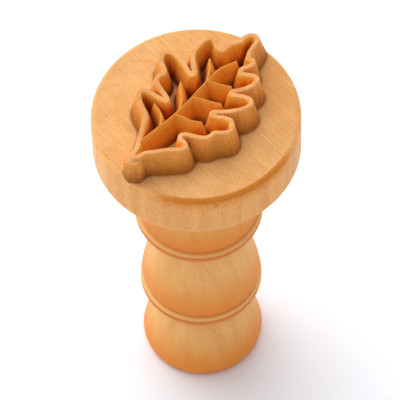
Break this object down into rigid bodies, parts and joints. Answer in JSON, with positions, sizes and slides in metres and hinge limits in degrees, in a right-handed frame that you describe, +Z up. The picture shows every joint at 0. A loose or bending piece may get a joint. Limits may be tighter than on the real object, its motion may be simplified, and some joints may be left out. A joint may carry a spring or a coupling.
{
  "type": "cookie stamp",
  "caption": "Turned wooden cookie stamp with a ringed grip and a carved oak leaf that presses its outline and veins into dough.",
  "frame": {"origin": "centre of the flat foot that the stamp stands on", "axes": "+Z up the turning axis to the stamping face, +Y along the leaf's midrib from its stem to its tip"},
  "size_m": [0.038, 0.038, 0.0799],
  "materials": {
    "handle_wood": "turned and lightly oiled maple, satin",
    "head_wood": "turned maple with an end grain face, satin",
    "leaf_wood": "carved maple end grain, lightly oiled"
  },
  "bodies": {
    "root": {"handle": "handle_wood", "stamp_head": "head_wood", "leaf_border": "leaf_wood", "leaf_midrib": "leaf_wood", "vein_right_lower": "leaf_wood", "vein_right_middle": "leaf_wood", "vein_right_upper": "leaf_wood", "vein_left_lower": "leaf_wood", "vein_left_middle": "leaf_wood", "vein_left_upper": "leaf_wood"}
  },
  "joints": []
}
